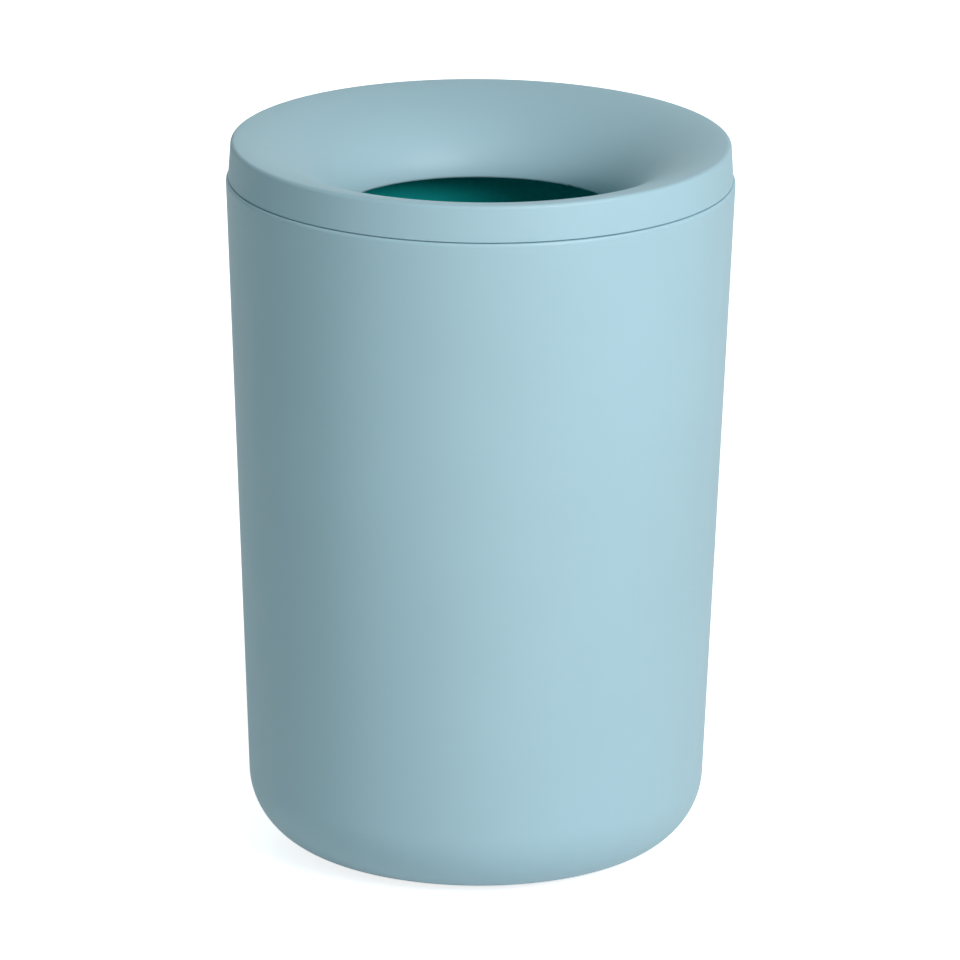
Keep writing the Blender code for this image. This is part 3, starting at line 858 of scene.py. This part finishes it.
def bow_point(angle):
    """Place on the bow: angle 0 is its right end, half a turn its left one."""
    return (ARM_X * math.cos(angle), -WIRE_BEND_RADIUS - BOW_DEPTH * math.sin(angle))


bend_centre = (ARM_X - WIRE_BEND_RADIUS, -WIRE_BEND_RADIUS)
right_end = [(PIN_X, 0.0)] + arc(bend_centre, WIRE_BEND_RADIUS, UPWARD, OUTWARD, BEND_STEPS)
bow = [bow_point(math.pi * step / BOW_STEPS) for step in range(1, BOW_STEPS)]
wire_path = right_end + bow + [(-x, y) for x, y in reversed(right_end)]
print("wire's path:", len(wire_path), "places, arm and pin at mm", 1000 * ARM_X, 1000 * PIN_X)

# %% [markdown]
# Now the ring walks that path. Its two ends are still open circles, so each gets a face, and the face's
# edge a small bevel, as a wire cutter and a tumbling drum leave it.

# %% The wire
WIRE_END_ROUND = 0.0004
WIRE_END_SEGMENTS = 3

wire = walk_ring("bail_rod", wire_path, [WIRE_RADIUS] * len(wire_path))
leave_edit()
settle(wire)
edit(wire)
for side in (1, -1):
    pick("VERT", lambda vert: abs(vert.co.x - side * PIN_X) < NEARLY)
    bpy.ops.mesh.edge_face_add()
    bpy.ops.mesh.bevel(offset=WIRE_END_ROUND, segments=WIRE_END_SEGMENTS, affect="EDGES")
bpy.ops.mesh.select_all(action="SELECT")
bpy.ops.mesh.normals_make_consistent(inside=False)
leave_edit()
print("wire:", len(wire.data.vertices), "vertices")

# %% [markdown]
# The grip is a plastic tube moulded round the wire, so it follows the same bow. The ring walks along it
# with the grip's radius, which swells and shrinks a little for the fingers, and both ends are filled. A
# thinner bar on the same way, a bit longer, is then taken out of it, and leaves the bore that the wire
# lies in.

# %% The grip
GRIP_RADIUS = 0.0040
GRIP_LENGTH = 0.0800
GRIP_END_ROUND = 0.0012
GRIP_END_STEPS = 6
GRIP_STEPS = 72
FINGER_WAVES = 4
WAVE_DEPTH = 0.0004
BORE_PLAY = 0.0001

GRIP_HALF_ANGLE = GRIP_LENGTH / 2 / ARM_X


def grip_stations():
    """Angles from the middle of the bow, and radii, from one end of the grip to the other."""
    end_angle = GRIP_END_ROUND / ARM_X
    opening = []
    for step in range(GRIP_END_STEPS):
        turn = math.pi / 2 * step / GRIP_END_STEPS
        angle = end_angle * (1 - math.cos(turn)) - GRIP_HALF_ANGLE
        opening.append((angle, GRIP_RADIUS - GRIP_END_ROUND * (1 - math.sin(turn))))
    middle = []
    reach = GRIP_HALF_ANGLE - end_angle
    for step in range(GRIP_STEPS + 1):
        share = step / GRIP_STEPS
        wave = (1 - math.cos(2 * math.pi * FINGER_WAVES * share)) / 2
        middle.append((reach * (2 * share - 1), GRIP_RADIUS - WAVE_DEPTH * wave))
    return opening + middle + [(-angle, radius) for angle, radius in reversed(opening)]


def walked_bar(name, stations):
    """A bar along the bow with both ends filled, from angles and radii."""
    path = [bow_point(math.pi / 2 + angle) for angle, radius in stations]
    bar = walk_ring(name, path, [radius for angle, radius in stations])
    bpy.ops.mesh.select_all(action="DESELECT")
    bpy.ops.mesh.select_mode(type="EDGE")
    bpy.ops.mesh.select_non_manifold()
    bpy.ops.mesh.edge_face_add()
    bpy.ops.mesh.select_all(action="SELECT")
    bpy.ops.mesh.normals_make_consistent(inside=False)
    leave_edit()
    settle(bar)
    return bar


grip = walked_bar("bail_handle", grip_stations())
bore_angle = GRIP_HALF_ANGLE + CUT_OVERRUN / ARM_X
bore_turns = [bore_angle * (2 * step / GRIP_STEPS - 1) for step in range(GRIP_STEPS + 1)]
bore = walked_bar("bore", [(turn, WIRE_RADIUS + BORE_PLAY) for turn in bore_turns])
combine(grip, bore, "DIFFERENCE")
print("grip:", len(grip.data.vertices), "vertices, radius mm", round(1000 * GRIP_RADIUS, 2))

# %% [markdown]
# ## Finishes
#
# A finish is a small network of shader nodes, and the same few steps come back in each: a noise, a range
# that it is stretched to, a mix of two colours, a bump. Each step gets a helper, so that a finish reads
# like a recipe. All patterns read Object coordinates, which are metres here. A noise seldom leaves the
# middle of its range, so that middle is what gets stretched.

# %% Helpers for finishes
NOISE_LOW = 0.3
NOISE_HIGH = 0.7


def add_node(material, kind, **settings):
    node = material.node_tree.nodes.new(kind)
    for name, value in settings.items():
        setattr(node, name, value)
    return node


def set_inputs(node, **values):
    for name, value in values.items():
        node.inputs[name.replace("_", " ")].default_value = value
    return node


def new_material(name):
    """A material with a Principled shader, and a node that gives places in the frame."""
    material = bpy.data.materials.new(name)
    material.use_nodes = True
    places = add_node(material, "ShaderNodeTexCoord").outputs["Object"]
    return material, material.node_tree.nodes["Principled BSDF"], places, material.node_tree.links


def add_noise(material, places, scale, detail=2.0, roughness=0.5):
    noise = add_node(material, "ShaderNodeTexNoise")
    set_inputs(noise, Scale=scale, Detail=detail, Roughness=roughness)
    material.node_tree.links.new(places, noise.inputs["Vector"])
    return noise.outputs["Fac"]


def add_range(material, source, low, high):
    """Stretch a noise's middle range to new limits."""
    span = add_node(material, "ShaderNodeMapRange")
    set_inputs(span, From_Min=NOISE_LOW, From_Max=NOISE_HIGH, To_Min=low, To_Max=high)
    material.node_tree.links.new(source, span.inputs["Value"])
    return span.outputs["Result"]


def add_tint(material, factor, first, second):
    """Mix two colours by a factor."""
    mix = add_node(material, "ShaderNodeMix", data_type="RGBA")
    mix.inputs["A"].default_value = (*first, 1.0)
    mix.inputs["B"].default_value = (*second, 1.0)
    material.node_tree.links.new(factor, mix.inputs["Factor"])
    return mix.outputs["Result"]


def add_bump(material, height, strength, distance, under=None):
    bump = add_node(material, "ShaderNodeBump")
    set_inputs(bump, Strength=strength, Distance=distance)
    material.node_tree.links.new(height, bump.inputs["Height"])
    if under:
        material.node_tree.links.new(under, bump.inputs["Normal"])
    return bump.outputs["Normal"]


def shade(colour, share):
    return tuple(channel * share for channel in colour)


# %% [markdown]
# The light blue plastic looks plain, and that is just what has to be built: an even colour with a drift
# too slow to notice, a satin sheen that isn't the same everywhere, faint marks along the height from the
# mould, and the very fine grain that a sand-blasted mould leaves. A scale of 2600 makes grains of about
# 0.4 mm. One function makes every plastic, with its colour, roughness and grain as arguments.

# %% Moulded plastic
DRIFT_SCALE = 11.0
SHEEN_SCALE = 46.0
SHEEN_DETAIL = 5.0
SHEEN_BREAKUP = 0.6
SHEEN_SPREAD = 0.03
DRAW_STRETCH = (260.0, 260.0, 7.0)
DRAW_STRENGTH = 0.04
DRAW_DEPTH = 0.0002
GRAIN_SCALE = 2600.0
GRAIN_DETAIL = 3.0
GRAIN_DEPTH = 0.0001


def moulded_plastic(name, colour, roughness, grain_strength, drift, specular):
    material, shader, places, links = new_material(name)
    stretch = add_node(material, "ShaderNodeMapping")
    set_inputs(stretch, Scale=DRAW_STRETCH)
    links.new(places, stretch.inputs["Vector"])
    slow = add_range(material, add_noise(material, places, DRIFT_SCALE), 0.0, 1.0)
    tint = add_tint(material, slow, shade(colour, 1 - drift), shade(colour, 1 + drift))
    links.new(tint, shader.inputs["Base Color"])
    sheen = add_noise(material, places, SHEEN_SCALE, SHEEN_DETAIL, SHEEN_BREAKUP)
    gloss = add_range(material, sheen, roughness - SHEEN_SPREAD, roughness + SHEEN_SPREAD)
    links.new(gloss, shader.inputs["Roughness"])
    marks = add_noise(material, stretch.outputs["Vector"], 1.0)
    drawn = add_bump(material, marks, DRAW_STRENGTH, DRAW_DEPTH)
    grain = add_noise(material, places, GRAIN_SCALE, GRAIN_DETAIL)
    grained = add_bump(material, grain, grain_strength, GRAIN_DEPTH, under=drawn)
    links.new(grained, shader.inputs["Normal"])
    set_inputs(shader, Specular_IOR_Level=specular)
    return material


# %% [markdown]
# Body and lid are the same blue. The lid is a touch duller, because its dish must not mirror the lamps.
# The bucket's teal looks nearly black-green through the hole, but only because little light gets in: the
# plastic itself is a mid teal. Its wall is the dullest of all, and the grip, which hands polish, shines
# again.

# %% The four plastics
BODY_COLOUR = (0.407, 0.600, 0.682)
TEAL_COLOUR = (0.002, 0.480, 0.470)

# Each recipe is a colour, a roughness, the grain's strength, the colour's drift and the specular level
PLASTICS = {
    "body_plastic": (BODY_COLOUR, 0.46, 0.10, 0.02, 0.50),
    "lid_plastic": (BODY_COLOUR, 0.50, 0.08, 0.02, 0.50),
    "bucket_plastic": (TEAL_COLOUR, 0.62, 0.10, 0.04, 0.15),
    "grip_plastic": (TEAL_COLOUR, 0.42, 0.30, 0.04, 0.50),
}

plastics = {name: moulded_plastic(name, *recipe) for name, recipe in PLASTICS.items()}
print("plastics:", list(plastics))

# %% [markdown]
# Zinc on steel wire is bright but not a mirror: its colour and its roughness wander together, and a fine
# grain breaks up its shine.

# %% Zinc-plated wire
ZINC_COLOUR = (0.62, 0.63, 0.64)
BLOOM_SCALE = 380.0
BLOOM_DETAIL = 4.0
BLOOM_BREAKUP = 0.65
BLOOM_SHADES = (0.86, 1.06)
ZINC_ROUGHNESS = (0.24, 0.38)
ZINC_GRAIN_SCALE = 3200.0
ZINC_GRAIN_STRENGTH = 0.12


def zinc_wire(name):
    material, shader, places, links = new_material(name)
    bloom = add_noise(material, places, BLOOM_SCALE, BLOOM_DETAIL, BLOOM_BREAKUP)
    spread = add_range(material, bloom, 0.0, 1.0)
    tint = add_tint(material, spread, *(shade(ZINC_COLOUR, share) for share in BLOOM_SHADES))
    links.new(tint, shader.inputs["Base Color"])
    links.new(add_range(material, bloom, *ZINC_ROUGHNESS), shader.inputs["Roughness"])
    grain = add_noise(material, places, ZINC_GRAIN_SCALE, GRAIN_DETAIL)
    links.new(add_bump(material, grain, ZINC_GRAIN_STRENGTH, GRAIN_DEPTH), shader.inputs["Normal"])
    set_inputs(shader, Metallic=1.0)
    return material


wire_finish = zinc_wire("bail_wire_zinc")
print("metal:", wire_finish.name)

# %% [markdown]
# The rubber of the pads is a dark grey, dull, and speckled by its fillers. One noise makes the speckle,
# and the same noise roughens and dents the rubber where it is lighter.

# %% Rubber
RUBBER_COLOUR = (0.060, 0.068, 0.068)
SPECKLE_SCALE = 1900.0
SPECKLE_DETAIL = 4.0
SPECKLE_SHADES = (0.8, 1.3)
RUBBER_ROUGHNESS = (0.72, 0.88)
RUBBER_GRAIN_STRENGTH = 0.25


def pad_rubber(name):
    material, shader, places, links = new_material(name)
    speckle = add_noise(material, places, SPECKLE_SCALE, SPECKLE_DETAIL)
    spread = add_range(material, speckle, 0.0, 1.0)
    tint = add_tint(material, spread, *(shade(RUBBER_COLOUR, share) for share in SPECKLE_SHADES))
    links.new(tint, shader.inputs["Base Color"])
    links.new(add_range(material, speckle, *RUBBER_ROUGHNESS), shader.inputs["Roughness"])
    links.new(add_bump(material, speckle, RUBBER_GRAIN_STRENGTH, GRAIN_DEPTH), shader.inputs["Normal"])
    return material


pad_finish = pad_rubber("pad_rubber")
print("rubber:", pad_finish.name)

# %% [markdown]
# ## Handing over to the frame
#
# Each finished piece gets smooth shading that stops at sharp edges, normals that the large faces rule,
# and its finish. It then stands for its plain solid and rides on the same body, so that it lifts or
# swings when the joint moves.

# %% Pieces for their nodes
SHARP_ANGLE = math.radians(32)
PIECES = [
    (body, "outer_body", plastics["body_plastic"]),
    (lid, "funnel_lid", plastics["lid_plastic"]),
    (bucket, "inner_bucket", plastics["bucket_plastic"]),
    (wire, "bail_wire", wire_finish),
    (grip, "bail_grip", plastics["grip_plastic"]),
]
PIECES += [(piece, node, pad_finish) for piece, node in zip(pads, PAD_NODES)]


def smooth(piece):
    select_only(piece)
    bpy.ops.object.shade_smooth_by_angle(angle=SHARP_ANGLE)
    weighted = piece.modifiers.new("large_faces_first", "WEIGHTED_NORMAL")
    weighted.keep_sharp = True
    bpy.ops.object.modifier_apply(modifier=weighted.name)


for piece, node, finish in PIECES:
    smooth(piece)
    piece.data.materials.clear()
    piece.data.materials.append(finish)
    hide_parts(node)
    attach(piece, frame["nodes"][node]["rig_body"])


# %% [markdown]
# ## Floor, background and lamps
#
# The photograph is a cut-out on white, and so is this one. The whiteness must not be light on the bin,
# though, or its shaded side would wash out. So the background tells rays apart: it is white for the rays
# that the camera sends out, also through glass, less white for those that the bin's gloss throws back,
# and plain for light.

# %% Rays that see white
def add_math(nodes, links, operation, first, second):
    """A node that combines two values. The second may be a plain number."""
    math_node = nodes.new("ShaderNodeMath")
    math_node.operation = operation
    links.new(first, math_node.inputs[0])
    if isinstance(second, float):
        math_node.inputs[1].default_value = second
    else:
        links.new(second, math_node.inputs[1])
    return math_node.outputs["Value"]


def add_white_seers(nodes, links, reflected):
    """How white each ray sees the background. Reflected rays see a given share of it."""
    rays = nodes.new("ShaderNodeLightPath")
    camera_ray, glass_ray = rays.outputs["Is Camera Ray"], rays.outputs["Is Transmission Ray"]
    direct = add_math(nodes, links, "MAXIMUM", camera_ray, glass_ray)
    mirrored = add_math(nodes, links, "MULTIPLY", rays.outputs["Is Glossy Ray"], reflected)
    return add_math(nodes, links, "MAXIMUM", direct, mirrored)


# %% [markdown]
# The floor is a matte white that the lamps light, with a glow on top for the rays that see white. The two
# together are white in the open, and a little less where the bin keeps the light off, which leaves it a
# faint shadow. Seen from below the floor is clear, so that the pads can be looked at.

# %% The floor
FLOOR_SIZE = 24.0
FLOOR_DROP = 0.0001
FLOOR_WHITE = 0.88
FLOOR_GLOW = 0.80
FLOOR_REFLECTED = 0.40


def floor_material():
    material = bpy.data.materials.new("studio_white")
    material.use_nodes = True
    nodes, links = material.node_tree.nodes, material.node_tree.links
    nodes.clear()
    output = nodes.new("ShaderNodeOutputMaterial")
    matte = nodes.new("ShaderNodeBsdfDiffuse")
    set_inputs(matte, Color=(FLOOR_WHITE, FLOOR_WHITE, FLOOR_WHITE, 1.0))
    glow = nodes.new("ShaderNodeEmission")
    seen_white = add_white_seers(nodes, links, FLOOR_REFLECTED)
    strength = add_math(nodes, links, "MULTIPLY", seen_white, FLOOR_GLOW)
    both = nodes.new("ShaderNodeAddShader")
    clear = nodes.new("ShaderNodeBsdfTransparent")
    side = nodes.new("ShaderNodeNewGeometry")
    choice = nodes.new("ShaderNodeMixShader")
    links.new(strength, glow.inputs["Strength"])
    links.new(matte.outputs["BSDF"], both.inputs[0])
    links.new(glow.outputs["Emission"], both.inputs[1])
    links.new(side.outputs["Backfacing"], choice.inputs["Fac"])
    links.new(both.outputs["Shader"], choice.inputs[1])
    links.new(clear.outputs["BSDF"], choice.inputs[2])
    links.new(choice.outputs["Shader"], output.inputs["Surface"])
    return material


bpy.ops.object.select_all(action="DESELECT")
bpy.ops.mesh.primitive_plane_add(size=FLOOR_SIZE, location=(0, 0, -FLOOR_DROP))
floor = bpy.context.object
floor.name = "studio_floor"
floor.data.materials.append(floor_material())
print("floor:", FLOOR_SIZE, "m wide, just under the pads")

# %% [markdown]
# The world is white for the camera, and four fifths white in reflections. As a light it is weak, only
# there to fill the shade, and it is short of red: the shaded side of the bin in the photograph leans
# towards green-blue.

# %% The world
WORLD_LEVEL = 0.22
WORLD_TINT = (0.74, 1.0, 1.02)
WORLD_WHITE = (1.0, 1.0, 1.0)
WORLD_REFLECTED = 0.80

world = bpy.data.worlds.new("studio")
bpy.context.scene.world = world
world.use_nodes = True
nodes, links = world.node_tree.nodes, world.node_tree.links
nodes.clear()
output = nodes.new("ShaderNodeOutputWorld")
soft = set_inputs(nodes.new("ShaderNodeBackground"), Color=(*WORLD_TINT, 1.0), Strength=WORLD_LEVEL)
seen = set_inputs(nodes.new("ShaderNodeBackground"), Color=(*WORLD_WHITE, 1.0), Strength=1.0)
choice = nodes.new("ShaderNodeMixShader")
links.new(add_white_seers(nodes, links, WORLD_REFLECTED), choice.inputs["Fac"])
links.new(soft.outputs["Background"], choice.inputs[1])
links.new(seen.outputs["Background"], choice.inputs[2])
links.new(choice.outputs["Shader"], output.inputs["Surface"])
print("world: light", WORLD_LEVEL, "and seen in reflections at", WORLD_REFLECTED)

# %% [markdown]
# The lamps are large and square, like soft boxes. Each is placed by its direction round the bin and its
# height, and turned to face the middle of the bin. The key stands in front on the right, and models the
# whole form from its bright right side to its shaded left. A low lamp behind lifts the back, which would
# otherwise be seen in full shade. It faces the camera across the level dish, where it would draw a hard
# shine, so it is kept out of reflections. A weak lamp high in front fills the dish.

# %% Lamps
AIM_AT = Vector((0.0, 0.0, 0.15))
LAMP_DISTANCE = 2.2
LAMP_SIDE = 1.0
LAMPS = {
    "key_right": {"azimuth": 38.5, "elevation": 31.0, "power": 33.4, "shines": True},
    "back_low": {"azimuth": 180.0, "elevation": 15.0, "power": 10.0, "shines": False},
    "top_soft": {"azimuth": 0.0, "elevation": 62.0, "power": 2.0, "shines": True},
}


def add_soft_box(name, azimuth, elevation, power, shines):
    """A square lamp. Azimuth 0 is in front of the bin and 90 on its right; both angles are in degrees."""
    lamp = bpy.data.objects.new(name, bpy.data.lights.new(name, "AREA"))
    bpy.context.scene.collection.objects.link(lamp)
    lamp.data.shape = "SQUARE"
    lamp.data.size = LAMP_SIDE
    lamp.data.energy = power
    turn = math.radians(azimuth)
    rise = math.radians(elevation)
    level = math.cos(rise)
    away = Vector((math.sin(turn) * level, -math.cos(turn) * level, math.sin(rise)))
    lamp.location = AIM_AT + away * LAMP_DISTANCE
    lamp.rotation_euler = away.to_track_quat("Z", "Y").to_euler()
    lamp.visible_camera = False
    lamp.visible_glossy = shines


for name, values in LAMPS.items():
    add_soft_box(name, **values)
    print("lamp:", name, values["power"], "W")
